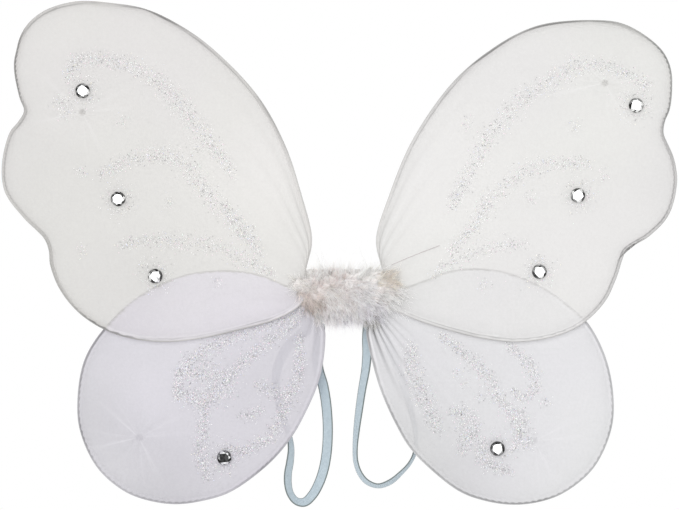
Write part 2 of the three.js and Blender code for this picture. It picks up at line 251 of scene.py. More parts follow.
def make_mesh(name, vertices, faces, material, smooth=True):
    """A mesh object from vertices in millimetres."""
    mesh = bpy.data.meshes.new(name)
    mesh.from_pydata((np.asarray(vertices) * MM).tolist(), [], faces)
    mesh.polygons.foreach_set("use_smooth", [smooth] * len(mesh.polygons))
    mesh.materials.append(material)
    mesh.validate()
    mesh.update()
    return add_object(name, mesh)


def set_point_value(obj, name, values):
    obj.data.attributes.new(name, "FLOAT", "POINT").data.foreach_set("value", np.asarray(values, np.float32))


def set_colours(obj, colours, domain="POINT"):
    """Stores linear RGB colours, one for each point or face."""
    rgba = np.ones((len(colours), 4), np.float32)
    rgba[:, :3] = colours
    obj.data.attributes.new("tone", "FLOAT_COLOR", domain).data.foreach_set("color", rgba.ravel())


def tube_arrays(path, radius, sides):
    """Vertices and faces of a closed round tube along a 3-D path."""
    path = np.asarray(path, float)
    ahead = np.gradient(path, axis=0)
    ahead /= np.linalg.norm(ahead, axis=1)[:, None]
    guide = np.array([0.0, 1.0, 0.0]) if abs(ahead[0, 1]) < 0.8 else np.array([1.0, 0.0, 0.0])
    across = np.cross(guide, ahead)
    across /= np.linalg.norm(across, axis=1)[:, None]
    deep = np.cross(ahead, across)
    angle = 2 * np.pi * np.arange(sides) / sides
    ring = across[:, None] * np.cos(angle)[None, :, None] + deep[:, None] * np.sin(angle)[None, :, None]
    vertices = (path[:, None] + ring * radius).reshape(-1, 3)
    return vertices, ring_faces(len(path), sides)


def joined(parts):
    """One vertex and face list from several."""
    vertices = []
    faces = []
    start = 0
    for part_vertices, part_faces in parts:
        vertices.append(part_vertices)
        faces.extend(tuple(start + i for i in face) for face in part_faces)
        start += len(part_vertices)
    return np.vstack(vertices), faces


# ---------------------------------------------------------------- materials
class Graph:
    """A Principled material with its node tree; constants are set on the shader's own sockets."""

    def __init__(self, name, **sockets):
        self.material = bpy.data.materials.new(name)
        self.material.use_nodes = True
        self.nodes = self.material.node_tree.nodes
        self.link = self.material.node_tree.links.new
        self.shader = self.nodes["Principled BSDF"]
        for socket, value in sockets.items():
            self.shader.inputs[socket.replace("_", " ")].default_value = value
        self.place = self.node("TexCoord").outputs["Object"]

    def node(self, kind, **properties):
        node = self.nodes.new("ShaderNode" + kind)
        for key, value in properties.items():
            setattr(node, key, value)
        return node

    def stored(self, name, output="Fac"):
        """A value that the mesh stores under this name."""
        return self.node("Attribute", attribute_name=name).outputs[output]

    def math(self, operation, *values):
        node = self.node("Math", operation=operation)
        for socket, value in zip(node.inputs, values):
            if isinstance(value, (int, float)):
                socket.default_value = value
            else:
                self.link(value, socket)
        return node.outputs[0]

    def mix(self, blend, factor, first, second):
        node = self.node("Mix", data_type="RGBA", blend_type=blend)
        for socket, value in ((node.inputs[0], factor), (node.inputs[6], first), (node.inputs[7], second)):
            if isinstance(value, bpy.types.NodeSocket):
                self.link(value, socket)
            else:
                socket.default_value = (*value, 1)
        return node.outputs[2]

    def noise(self, scale, detail=2.0, place=None):
        node = self.node("TexNoise")
        node.inputs["Scale"].default_value = scale
        node.inputs["Detail"].default_value = detail
        self.link(place or self.place, node.inputs["Vector"])
        return node.outputs[0]

    def wave(self, direction, scale):
        node = self.node("TexWave", wave_type="BANDS", bands_direction=direction)
        node.inputs["Scale"].default_value = scale
        node.inputs["Distortion"].default_value = 0.6
        node.inputs["Detail Scale"].default_value = 2.0
        self.link(self.place, node.inputs["Vector"])
        return node.outputs[1]

    def map_range(self, value, source, target):
        node = self.node("MapRange")
        self.link(value, node.inputs[0])
        for k, bound in enumerate((*source, *target), 1):
            node.inputs[k].default_value = bound
        return node.outputs[0]

    def axes(self):
        """The place on the object along x, y and z."""
        split = self.node("SeparateXYZ")
        self.link(self.place, split.inputs[0])
        return split.outputs

    def bump(self, height, strength, distance_mm):
        bump = self.node("Bump")
        bump.inputs["Strength"].default_value = strength
        bump.inputs["Distance"].default_value = distance_mm * MM
        self.link(height, bump.inputs["Height"])
        self.link(bump.outputs[0], self.shader.inputs["Normal"])

    def finished(self, colour):
        """The material, with this as its colour."""
        self.link(colour, self.shader.inputs["Base Color"])
        return self.material


def net_material(name, spec):
    """Stretched white nylon: a fine knit that lets part of the light through, denser in its pleats."""
    g = Graph(f"{name}_nylon", Roughness=0.7, Sheen_Weight=0.1, Specular_IOR_Level=0.3)
    colour = g.mix("MULTIPLY", g.math("MULTIPLY", g.noise(24.0), 0.12), g.stored("tone", "Color"),
                   (0.6, 0.6, 0.62))
    colour = g.mix("MULTIPLY", g.math("MULTIPLY", g.noise(480.0), 0.26), colour, (0.5, 0.5, 0.5))
    cool = g.map_range(g.noise(7.0, 1.0), (0.42, 0.6), (0.0, 1.0))
    colour = g.mix("MULTIPLY", cool, colour, (0.99, 0.982, 1.0))
    # Painted shade lines along the wire, blended between the outside line and the inside line by a noise.
    side = g.map_range(g.noise(9.0, 1.0), (0.42, 0.55), (0.0, spec["inner_line"]))
    shades = g.mix("MIX", side, rim_ramp(g, OUTER_SHADE_LINE), rim_ramp(g, INNER_SHADE_LINE))
    colour = g.mix("MULTIPLY", rim_shade_strength(g, spec["stem_rim"]), colour, shades)
    colour = g.mix("MIX", knot_streaks(g, spec["knot"]), colour, (0.95, 0.94, 0.97))
    knit = g.math("MULTIPLY", g.wave("X", 640.0), g.wave("Z", 560.0))
    cover = g.math("MULTIPLY_ADD", knit, 0.18, spec["cover"])
    g.link(g.math("ADD", cover, g.stored("dense")), g.shader.inputs["Alpha"])
    g.bump(knit, 0.25, 0.1)
    return g.finished(colour)


def rim_ramp(g, line):
    """The net's painted shade by its distance in from the wire."""
    ramp = g.node("ValToRGB")
    elements = ramp.color_ramp.elements
    while len(elements) < len(line):
        elements.new(0.5)
    for element, (distance, shade) in zip(elements, line):
        element.position = (distance - RAMP_START) / (RAMP_END - RAMP_START)
        element.color = (shade, shade, shade, 1)
    g.link(g.map_range(g.stored("rim"), (RAMP_START, RAMP_END), (0.0, 1.0)), ramp.inputs[0])
    return ramp.outputs[0]


def rim_shade_strength(g, stem_rim):
    """The painted shade lines along the rim come and go along the wire, and fade to stem_rim near the hub."""
    varied = g.map_range(g.noise(14.0, 3.0), (0.35, 0.6), (0.45, 1.0))
    reach = g.math("ABSOLUTE", g.axes()[0])
    near_hub = g.map_range(reach, (32 * MM, 62 * MM), (stem_rim, 1.0))
    return g.math("MULTIPLY", varied, near_hub)


def knot_streaks(g, knot):
    """Fine pale tension lines that fan out from the knot, fading with distance."""
    x, _, z = g.axes()
    dx = g.math("SUBTRACT", x, knot[0] * MM)
    dz = g.math("SUBTRACT", z, knot[1] * MM)
    fan = g.node("TexNoise", noise_dimensions="1D")
    fan.inputs["Scale"].default_value = 3.2
    g.link(g.math("ARCTAN2", dz, dx), fan.inputs["W"])
    lines = g.map_range(fan.outputs[0], (0.55, 0.75), (0.0, 1.0))
    squared = g.math("ADD", g.math("MULTIPLY", dx, dx), g.math("MULTIPLY", dz, dz))
    reach = g.map_range(g.math("SQRT", squared), (2 * MM, 42 * MM), (0.22, 0.0))
    return g.math("MULTIPLY", lines, reach)


def tone_material(name, **sockets):
    """A material whose colour comes from the mesh's own stored tones."""
    g = Graph(name, **sockets)
    return g.finished(g.stored("tone", "Color"))


def wire_material():
    """Off-white enamel on wire, worn a little, with near-black painted shade on its sides that face in and
    out along the wing.
    """
    g = Graph("wire_enamel", Roughness=0.4, Specular_IOR_Level=0.4)
    wear = g.noise(160.0, 3.0)
    base = g.mix("MIX", wear, (0.50, 0.50, 0.49), (0.70, 0.70, 0.69))
    g.bump(wear, 0.2, 0.1)
    # The stored inner value blends in near-black painted shade.
    return g.finished(g.mix("MIX", g.stored("inner"), base, (0.03, 0.035, 0.03)))


def woven_material(name, colour, dark, pitch_scale, direction):
    """A woven or ribbed textile in two close tones."""
    g = Graph(name, Roughness=0.85, Sheen_Weight=0.25)
    weave = g.wave(direction, pitch_scale)
    tone = g.mix("MIX", weave, dark, colour)
    tone = g.mix("MULTIPLY", g.math("MULTIPLY", g.noise(90.0, 3.0), 0.15), tone, (0.5, 0.5, 0.5))
    g.bump(weave, 0.5, 0.15)
    return g.finished(tone)


def elastic_material():
    """Pale blue woven elastic: fine cross ribs, and near-black painted shade along both edges."""
    g = Graph("pale_blue_elastic", Roughness=0.8, Sheen_Weight=0.2)
    weave = g.math("MULTIPLY", g.wave("Z", 480.0), g.wave("X", 380.0))
    tone = g.mix("MIX", weave, (0.42, 0.50, 0.55), (0.65, 0.73, 0.78))
    tone = g.mix("MULTIPLY", g.math("MULTIPLY", g.noise(500.0, 3.0), 0.6), tone, (0.55, 0.58, 0.6))
    # Painted shade along both edges of the ribbon.
    tone = g.mix("MIX", g.math("MULTIPLY", g.stored("edge"), 0.85), tone, (0.09, 0.11, 0.10))
    g.bump(weave, 0.6, 0.2)
    return g.finished(tone)


def felt_material():
    """Matted white felt."""
    g = Graph("felt", Roughness=1.0, Sheen_Weight=0.4)
    fibres = g.noise(900.0, 6.0)
    g.bump(fibres, 0.6, 0.3)
    return g.finished(g.mix("MIX", fibres, (0.62, 0.60, 0.585), (0.86, 0.85, 0.84)))


def core_fur_material():
    """Matted down: streaks of lighter and darker barbs that lie one way, with painted light that makes it
    paler towards the top.
    """
    g = Graph("marabou_core", Roughness=1.0, Sheen_Weight=0.3)
    combed = g.node("Mapping")
    combed.inputs["Rotation"].default_value = (0, math.radians(40), 0)
    combed.inputs["Scale"].default_value = (0.3, 1.0, 1.0)
    g.link(g.place, combed.inputs["Vector"])
    strands = g.noise(900.0, 3.0, combed.outputs[0])
    painted_top_light = g.map_range(g.axes()[2], (0.0, 14 * MM), (-0.1, 0.35))
    g.bump(strands, 1.0, 1.0)
    return g.finished(g.mix("MIX", g.math("ADD", strands, painted_top_light), (0.42, 0.37, 0.36), (0.93, 0.90, 0.885)))


# ---------------------------------------------------------------- wings
def net_outline(wing):
    """The CAD net's outer edge as [x, z] in millimetres, from the upper side of its neck to the lower."""
    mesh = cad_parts[f"{wing}_net"].data
    points = np.array([v.co for v in mesh.vertices]) / MM
    front = points[:, 1].min() + 0.05
    mesh.calc_loop_triangles()
    key = [tuple(np.round(p[[0, 2]], 3)) for p in points]
    uses = {}
    for triangle in mesh.loop_triangles:
        corners = list(triangle.vertices)
        if max(points[corners, 1]) > front:
            continue
        for a, b in zip(corners, corners[1:] + corners[:1]):
            edge = frozenset((key[a], key[b]))
            uses[edge] = uses.get(edge, 0) + 1
    neighbours = {}
    for edge, count in uses.items():
        if count == 1:
            a, b = edge
            neighbours.setdefault(a, []).append(b)
            neighbours.setdefault(b, []).append(a)
    low, high = span(f"{wing}_tie")
    outer = low[0] if abs(low[0]) > abs(high[0]) else high[0]
    rim = list(neighbours)
    start = min(rim, key=lambda p: math.hypot(p[0] - outer, p[1] - high[2]))
    stop = min(rim, key=lambda p: math.hypot(p[0] - outer, p[1] - low[2]))
    loop = [start, next(p for p in neighbours[start] if p != stop)]
    while loop[-1] != stop:
        loop.append(next(p for p in neighbours[loop[-1]] if p != loop[-2]))
    return np.array(loop)


def wing_plane(wing):
    low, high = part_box(f"{wing}_wire")
    return (low.y + high.y) / 2 / MM


def side_of(wing):
    return -1 if wing.endswith("left") else 1


def wire_line(wing):
    """The wire's centreline in [x, z], from the upper leg round to the lower leg."""
    edge = smooth_path(net_outline(wing), 360)
    return offset_path(edge, -side_of(wing) * EDGE_TO_WIRE)


def build_wire(wing, line, material):
    """The wire loop with its straight legs, with painted shade on its inner and outer sides, broken along its
    length.
    """
    tie_low, tie_high = span(f"{wing}_tie")
    leg_x = min(abs(tie_low[0]), abs(tie_high[0])) - 0.5
    side = side_of(wing)
    first = np.array([side * leg_x, line[0, 1]])
    last = np.array([side * leg_x, line[-1, 1]])
    path = np.vstack([first, line, last])
    plane = wing_plane(wing)
    spots = np.stack([path[:, 0], np.full(len(path), plane), path[:, 1]], axis=1)
    sides = 12
    vertices, faces = tube_arrays(spots, WIRE_RADIUS, sides)
    obj = make_mesh(f"{wing}_wire_loop", vertices, faces, material)
    centres = np.repeat(spots, sides, axis=0)
    inward = offset_path(path, -side) - path
    inward3 = np.repeat(np.stack([inward[:, 0], np.zeros(len(path)), inward[:, 1]], axis=1), sides, axis=0)
    facing = ((vertices - centres) * inward3).sum(axis=1) / WIRE_RADIUS
    along = np.repeat(np.linspace(0, 1, len(path)), sides)
    broken = 0.5 + 0.5 * np.sin(along * 37 + 1.3) * np.sin(along * 91)
    # Painted shade on the side facing into the wing and on the side facing out, broken along the wire.
    inner_painted_shade = np.clip((facing - 0.4) * 3, 0, 1) * (0.45 + 0.55 * broken)
    outer_painted_shade = np.clip((-facing - 0.5) * 3, 0, 1) * (1 - 0.7 * broken)
    set_point_value(obj, "inner", inner_painted_shade + outer_painted_shade)
    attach(obj, f"{wing}_wing")
    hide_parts(f"{wing}_wire")


def net_grid(line, corners):
    """A grid of [x, z] points over the wing, rows from the stem to the tip, columns from top to bottom."""
    count = len(line) - 1
    a, b = (int(round(c * count)) for c in corners)
    rows = np.linspace(0, 1, NET_ROWS + 1) ** 1.35
    columns = np.linspace(0, 1, NET_COLUMNS + 1)
    edge_steps = 400
    top = even_steps(line[: a + 1], edge_steps)
    tip = even_steps(line[a : b + 1], NET_COLUMNS)
    bottom = even_steps(line[b:][::-1], edge_steps)
    at = rows * edge_steps
    steps = np.arange(edge_steps + 1)
    top_at = np.stack([np.interp(at, steps, top[:, k]) for k in (0, 1)], axis=1)
    bottom_at = np.stack([np.interp(at, steps, bottom[:, k]) for k in (0, 1)], axis=1)
    ruled = top_at[:, None] * (1 - columns)[None, :, None] + bottom_at[:, None] * columns[None, :, None]
    bulge = tip - ruled[-1]
    return ruled + bulge[None] * (rows**2.2)[:, None, None], rows, columns


def pleat_relief(rows, columns, spec, seed):
    """How far each point of the net stands out of its plane by the stem, as folds from -1 to 1."""
    local = np.random.default_rng(seed)
    phase = local.uniform(0, 2 * np.pi, 3)
    across = columns[None, :] * np.pi * spec["pleats"]
    wobble = 0.9 * np.sin(across * 0.37 + phase[0]) + 0.5 * np.sin(across * 0.71 + phase[1])
    folds = np.sin(2 * across + wobble * 2)
    side = 0.15 + 0.85 * np.exp(-(((columns - spec["gather_at"]) / 0.17) ** 2))[None, :]
    fade = (np.exp(-rows / 0.13) * np.minimum(rows / 0.015, 1))[:, None]
    edge_free = np.minimum(np.minimum(columns, 1 - columns) / 0.03, 1)[None, :]
    return folds, fade * side * edge_free


def knot_ridges(points, knot):
    """Low ridges in the net that run out from the knot where the cloth is pulled together."""
    gap = points - np.array(knot)
    distance = np.linalg.norm(gap, axis=-1)
    angle = np.arctan2(gap[..., 1], gap[..., 0])
    rays = np.sin(angle * 9) + 0.5 * np.sin(angle * 17 + 1)
    return rays * np.minimum(distance / 5, 1) * np.exp(-distance / 14)


def tint_with_painted_shade(points, tint, shade_spots):
    """The net's tint at each [x, z] point, with its soft patches of painted light and shade."""
    shade = np.ones(len(points))
    for centre, radius, amount in shade_spots:
        gap = np.linalg.norm(points - np.array(centre), axis=1)
        shade += amount * np.exp(-((gap / radius) ** 2))
    return NET_SHADE * shade[:, None] * np.array(tint)


def bag_vertices(plane, grid, relief, rim_points, outward):
    """The front sheet, the back sheet, then the rings that turn round the wire."""
    sheets = []
    for sign, scale in ((-1, 1.0), (1, 0.6)):
        y = plane + sign * (NET_RADIUS + np.clip(relief * scale, -0.6, 1.8))
        sheets.append(np.stack([grid[..., 0], y, grid[..., 1]], axis=2).reshape(-1, 3))
    arcs = []
    for angle in ARC_ANGLES:
        edge = rim_points + outward * NET_RADIUS * math.cos(angle)
        y = np.full(len(edge), plane + NET_RADIUS * math.sin(angle))
        arcs.append(np.stack([edge[:, 0], y, edge[:, 1]], axis=1))
    return np.vstack(sheets + arcs)


def bag_faces(n_rows, n_columns, rim):
    """The faces of both sheets and of the turn between them."""
    per_sheet = n_rows * n_columns
    faces = []
    for i in range(n_rows - 1):
        for j in range(n_columns - 1):
            a = i * n_columns + j
            faces.append((a, a + 1, a + n_columns + 1, a + n_columns))
            faces.append(tuple(per_sheet + k for k in (a, a + n_columns, a + n_columns + 1, a + 1)))
    rings = [[i * n_columns + j for i, j in rim]]
    for k in range(len(ARC_ANGLES)):
        rings.append([2 * per_sheet + k * len(rim) + m for m in range(len(rim))])
    rings.append([per_sheet + i * n_columns + j for i, j in rim])
    for first, second in zip(rings, rings[1:]):
        faces += [(first[m], first[m + 1], second[m + 1], second[m]) for m in range(len(rim) - 1)]
    return faces


def net_tones(wing, points, rim_gap, partner, crease_shade, ridge_highlight):
    """The net's tones: painted patches of light and shade, painted light over the overlap with the other wing
    and beside its edge, a little darker near the wire, and painted shade and highlights in its pleats.
    """
    level, side_name = wing.split("_")
    tones = tint_with_painted_shade(points, WINGS[wing]["tint"], WINGS[wing]["shade_spots"])
    # Painted light where the other wing overlaps this one, and a painted lift of shadow beside that wing's
    # edge.
    overlap = inside(points, partner)[:, None]
    painted_lift_beside_partner = SHADOW_LIFT[level] * np.exp(-distance_to(points, partner) / SHADOW_WIDTH)
    tones *= np.where(overlap, OVERLAP_PAINTED_LIGHT[side_name], 1 + painted_lift_beside_partner[:, None])
    tones *= (1 - 0.05 * np.exp(-rim_gap / 6))[:, None]
    return tones * (1 - 0.93 * crease_shade[:, None]) * (1 - ridge_highlight[:, None]) + 0.85 * ridge_highlight[:, None]


def build_net(wing, line, partner, spec, material):
    """The net as one bag: a front sheet, a back sheet and the turn round the wire between them."""
    grid, rows, columns = net_grid(line, spec["corners"])
    seed = len(wing) + int(abs(spec["knot"][0]))
    folds, fade = pleat_relief(rows, columns, spec, seed)
    relief = folds * fade * spec["gather"] + 0.5 * knot_ridges(grid, spec["knot"])
    strength = min(1.0, spec["gather"])
    # Painted shade in the pleats' creases and painted highlights on their ridges, over the relief.
    crease_shade = np.clip(np.clip(-folds - 0.6, 0, 1) * fade * strength * 8, 0, 1).ravel()
    ridge_highlight = np.clip(np.clip(folds - 0.4, 0, 1) * fade * strength * 3.6, 0, 1).ravel()
    n_rows, n_columns = grid.shape[:2]
    rim = [(i, 0) for i in range(n_rows)] + [(n_rows - 1, j) for j in range(1, n_columns - 1)]
    rim += [(i, n_columns - 1) for i in reversed(range(n_rows))]
    rim_points = np.array([grid[i, j] for i, j in rim])
    outward = offset_path(rim_points, side_of(wing)) - rim_points
    vertices = bag_vertices(wing_plane(wing), grid, relief, rim_points, outward)
    obj = make_mesh(f"{wing}_nylon_net", vertices, bag_faces(n_rows, n_columns, rim), material)
    points = grid.reshape(-1, 2)
    rim_gap = distance_to(points, line)
    tones = net_tones(wing, points, rim_gap, partner, crease_shade, ridge_highlight)
    arc_count = len(ARC_ANGLES) * len(rim)
    arc_tones = np.tile(np.array(spec["tint"]) * NET_SHADE, (arc_count, 1))
    set_colours(obj, np.vstack([tones, tones, arc_tones]))
    gathered = 0.35 * (fade * strength).ravel() + 0.3 * (crease_shade + ridge_highlight)
    dense = gathered + 0.35 * np.clip(1.5 - rim_gap / 2, 0, 1)
    set_point_value(obj, "dense", np.concatenate([dense, dense, np.full(arc_count, 0.35)]))
    arc_gap = np.repeat(-NET_RADIUS * np.cos(ARC_ANGLES), len(rim))
    set_point_value(obj, "rim", np.concatenate([rim_gap, rim_gap, arc_gap]))
    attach(obj, f"{wing}_wing")
    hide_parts(f"{wing}_net")


def distance_to(points, line):
    """Each point's distance to the nearest point of the line."""
    gaps = np.empty(len(points))
    for start in range(0, len(points), 2000):
        block = points[start : start + 2000]
        gaps[start : start + 2000] = np.sqrt(((block[:, None] - line[None]) ** 2).sum(axis=2)).min(axis=1)
    return gaps


# ---------------------------------------------------------------- glitter
def grains(centres, face_y, local):
    """Flat double pyramids, one for each centre, turned at random on the net's front face."""
    count = len(centres)
    size = local.uniform(*GRAIN_SIZES, count)
    spin = local.uniform(0, 2 * np.pi, count)
    tilt = local.normal(0, 0.3, (count, 2))
    corners = []
    for k in range(4):
        angle = spin + k * np.pi / 2
        dx, dz = np.cos(angle) * size, np.sin(angle) * size
        corners.append(np.stack([dx, dx * tilt[:, 0] + dz * tilt[:, 1], dz], axis=1))
    for sign in (-1, 1):
        peak = np.zeros((count, 3))
        peak[:, 1] = sign * size * 0.3
        corners.append(peak)
    middle = np.stack([centres[:, 0], np.full(count, face_y - GRAIN_LIFT), centres[:, 1]], axis=1)
    vertices = (np.stack(corners, axis=1) + middle[:, None]).reshape(-1, 3)
    pattern = np.array([(k, (k + 1) % 4, 4) for k in range(4)] + [((k + 1) % 4, k, 5) for k in range(4)])
    faces = (pattern[None] + 6 * np.arange(count)[:, None, None]).reshape(-1, 3)
    return vertices, faces.tolist()


def glitter_centres(wing, gems, local):
    """Where the grains lie: along the strokes, in dots and in rings round the gems."""
    centres = []
    for points, width, density in GLITTER[wing]:
        line = smooth_path(points, STROKE_STEPS)
        length = np.linalg.norm(np.diff(line, axis=0), axis=1).sum()
        count = int(length * width * density * GRAINS_PER_SQUARE_MM)
        along = local.uniform(0, STROKE_STEPS, count)
        steps = np.arange(STROKE_STEPS + 1)
        spots = np.stack([np.interp(along, steps, line[:, k]) for k in (0, 1)], axis=1)
        taper = 0.55 + 0.45 * np.sin(np.pi * along / STROKE_STEPS)
        centres.append(spots + local.normal(0, width / 2.9, (count, 2)) * taper[:, None])
    for spot in GLITTER_DOTS[wing]:
        centres.append(np.array(spot) + local.normal(0, 2.6, (GRAINS_PER_DOT, 2)))
    for spot in gems:
        angle = local.uniform(0, 2 * np.pi, GRAINS_PER_GEM)
        reach = 6.5 + np.abs(local.normal(0, 4.5, GRAINS_PER_GEM))
        centres.append(np.array(spot) + np.stack([np.cos(angle) * reach, np.sin(angle) * reach], axis=1))
    return np.vstack(centres)


def inside(points, polygon):
    """Which points lie inside the closed polygon."""
    x, z = points[:, 0], points[:, 1]
    hit = np.zeros(len(points), bool)
    for (x0, z0), (x1, z1) in zip(polygon, np.roll(polygon, -1, axis=0)):
        crosses = (z0 > z) != (z1 > z)
        hit ^= crosses & (x < (x1 - x0) * (z - z0) / (z1 - z0 + 1e-12) + x0)
    return hit


def build_glitter(wing, line, gems, material):
    local = np.random.default_rng(100 + len(wing) + int(line[:, 0].sum()) % 97)
    centres = glitter_centres(wing, gems, local)
    centres = centres[inside(centres, line) & (distance_to(centres, line) > GLITTER_TO_WIRE)]
    face = wing_plane(wing) - NET_RADIUS
    vertices, faces = grains(centres, face, local)
    obj = make_mesh(f"{wing}_glitter", vertices, faces, material, smooth=False)
    picks = local.choice(len(GLITTER_TONES), len(centres), p=GLITTER_SHARES)
    set_colours(obj, np.repeat(GLITTER_TONES[picks], 8, axis=0), "FACE")
    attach(obj, f"{wing}_wing")


# ---------------------------------------------------------------- gems and knots
# A gem's rings of corners from its back up: count, share of its radius, share of its height, half turns.
GEM_RINGS = [(16, 0.93, 0.0, 0), (16, 1.0, 0.3, 0), (8, 0.84, 0.72, 1), (8, 0.64, 1.0, 0)]


def build_gem(node, body, material, local):
    """A flat-backed brilliant: a silvered ring of facets round a wide table, each facet's tone a painted
    reflection.
    """
    low, high = span(node)
    centre = (low + high) / 2
    radius, height = (high[0] - low[0]) / 2, high[1] - low[1]
    turn = local.uniform(0, 2 * np.pi)
    # Every facet's tone is a painted reflection, from near black to near white.
    table_reflections = DARK_REFLECTION_GEMS.get(node, [0.98])
    star_reflections = [0.03, 0.4, 0.98] if node in DARK_REFLECTION_GEMS else [0.03, 0.5, 0.98, 0.98]
    rings = []
    for count, share, lift, turned in GEM_RINGS:
        angle = turn + 2 * np.pi * (np.arange(count) + 0.5 * turned) / count
        rings.append(np.stack([
            centre[0] + radius * share * np.cos(angle),
            np.full(count, high[1] - height * lift),
            centre[2] + radius * share * np.sin(angle),
        ], axis=1))
    top = np.array([[centre[0], low[1] - 0.02, centre[2]]])
    girdle, middle, table, peak = 16, 32, 40, 48
    faces, tones = [tuple(range(16))], [0.6]
    for k in range(16):
        after = (k + 1) % 16
        faces.append((k, girdle + k, girdle + after, after))
        tones.append(0.25)
    for k in range(8):
        after, before = (k + 1) % 8, (k - 1) % 8
        faces.append((table + k, table + after, peak))
        tones.append(local.choice(table_reflections))
        faces.append((table + k, middle + k, table + after))
        tones.append(local.choice(star_reflections))
        faces.append((table + k, middle + before, girdle + 2 * k, middle + k))
        tones.append(local.choice([0.02, 0.10, 0.35, 0.98]))
        faces.append((middle + k, girdle + 2 * k, girdle + 2 * k + 1))
        faces.append((middle + k, girdle + 2 * k + 1, girdle + (2 * k + 2) % 16))
        tones += [local.choice([0.02, 0.06, 0.3]), local.choice([0.02, 0.06, 0.6])]
    faces = [tuple(reversed(face)) for face in faces]
    obj = make_mesh(f"{node}_cut", np.vstack(rings + [top]), faces, material, smooth=False)
    set_colours(obj, np.array(tones)[:, None] * np.array([[0.99, 1.0, 1.0]]), "FACE")
    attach(obj, body)
    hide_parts(node)


def build_knot(wing, material):
    """The gathered, tied-off end of the net: a puckered rosette with a small tuft."""
    node = f"{wing}_knot"
    low, high = span(node)
    centre = (low + high) / 2
    radius, height = (high[0] - low[0]) / 2, high[1] - low[1]
    profile = [(0.85, 0.0), (0.6, 0.15), (0.3, 0.35), (0.22, 0.5), (0.34, 0.78), (0.42, 0.95), (0.12, 0.9)]
    sides = 48
    angle = 2 * np.pi * np.arange(sides) / sides
    vertices = []
    for share, lift in profile:
        pucker = 1 + 0.13 * np.sin(angle * 9) * share
        r = radius * share * pucker
        y = np.full(sides, low[1] + height * lift) + 0.12 * np.cos(angle * 9) * lift
        vertices.append(np.stack([centre[0] + r * np.cos(angle), y, centre[2] + r * np.sin(angle)], axis=1))
    faces = [tuple(reversed(face)) for face in ring_faces(len(profile), sides)]
    obj = make_mesh(f"{wing}_tied_end", np.vstack(vertices), faces, material)
    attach(obj, f"{wing}_wing")
    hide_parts(node)


# ---------------------------------------------------------------- hub: wires, marabou, patch
def build_flex_wires(material):
    """The lengths of wire between the hub and each stem, as straight tubes."""
    for side_name, side in (("left", -1), ("right", 1)):
        for pair in ("upper", "lower"):
            for leg in ("top", "bottom"):
                hub_node, stem_node = f"hub_wire_{pair}_{leg}", f"{side_name}_stem_wire_{pair}_{leg}"
                low, high = span(stem_node)
                y, z = (low[1] + high[1]) / 2, (low[2] + high[2]) / 2
                end = max(abs(low[0]), abs(high[0]))
                path = np.stack([side * np.linspace(0.2, end, 24), np.full(24, y), np.full(24, z)], axis=1)
                vertices, faces = tube_arrays(path, 1.0, 10)
                obj = make_mesh(f"{side_name}_flex_wire_{pair}_{leg}", vertices, faces, material)
                # No painted shade on these wires.
                set_point_value(obj, "inner", np.zeros(len(vertices)))
                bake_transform(obj)
                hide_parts(hub_node, stem_node)


# Each tuft: middle [x, z], half-size [x, z], clumps, comb direction [x, z], reach, and its tone.
TUFTS = [
    ((-28, 4), (9, 5), 90, (-0.6, 0.3), 9, (0.86, 0.82, 0.79)),
    ((-26, -3), (8, 5), 90, (0.7, -0.6), 8, (0.76, 0.68, 0.64)),
    ((-22, -9), (7, 3.5), 70, (0.7, -0.6), 8, (0.50, 0.43, 0.39)),
    ((-13, -15), (9, 6), 80, (0.4, -0.9), 9, (0.80, 0.77, 0.77)),
    ((-18, 10), (9, 4), 34, (-0.2, 0.9), 11, (0.98, 0.94, 0.91)),
    ((-12, 8), (12, 7), 150, (0.5, 0.5), 8, (0.90, 0.80, 0.77)),
    ((-8, -3), (9, 7), 100, (0.6, -0.6), 9, (0.95, 0.89, 0.87)),
    ((2, 1), (10, 9), 150, (0.8, -0.3), 9, (0.93, 0.87, 0.86)),
    ((2, -10), (10, 7), 100, (0.4, -0.8), 9, (0.92, 0.87, 0.87)),
    ((3, -18), (13, 4), 90, (0.2, -1.0), 8, (0.76, 0.74, 0.77)),
    ((0, 12), (21, 4), 44, (0.1, 1.0), 19, (1.0, 0.98, 0.95)),
    ((13, 0), (9, 8), 140, (0.8, -0.2), 9, (0.95, 0.93, 0.95)),
    ((18, -13), (10, 7), 110, (0.8, -0.8), 9, (0.80, 0.78, 0.82)),
    ((19, -19), (4, 3), 16, (0.3, -1.0), 8, (0.34, 0.33, 0.27)),
    ((18, 11), (9, 6), 50, (0.7, 0.7), 12, (0.98, 0.96, 0.93)),
    ((31, 9), (8, 6), 90, (0.6, 0.2), 8, (0.80, 0.73, 0.65)),
    ((35, -5), (10, 8), 130, (0.9, -0.3), 10, (0.94, 0.92, 0.90)),
]
# The matted down at several distances across the hub: its middle, half-height and half-depth.
CORE_PLANE = -11.25
CORE_X = [-42, -38, -34, -25, -14, 0, 14, 26, 35, 41, 45]
CORE_MIDDLE = [6, 6, 5, 0, -3, -3.5, -3, 0, 3, 2, 2]
CORE_HALF_HEIGHT = [0.5, 3, 6, 11, 15.5, 17, 17, 16, 12, 6, 0.5]
CORE_HALF_DEPTH = [0.5, 3, 6, 8, 9, 9.3, 9.3, 8.6, 7, 4, 0.5]
STRANDS_PER_CLUMP = 8
STRAND_STEPS = 5
STRAND_RADIUS = 0.145
FUR_FRONT = -31.0
FUR_BACK = -1.8


def hub_surface(x, z, front):
    """Where the matted down's surface lies, in y, for a point of it seen from the front or the back."""
    middle, half_height = np.interp(x, CORE_X, CORE_MIDDLE), np.interp(x, CORE_X, CORE_HALF_HEIGHT)
    half_depth = np.interp(x, CORE_X, CORE_HALF_DEPTH)
    reach = max(0.0, 1 - ((z - middle) / half_height) ** 2) ** 0.5
    return CORE_PLANE - half_depth * reach if front else CORE_PLANE + (half_depth - 1) * reach


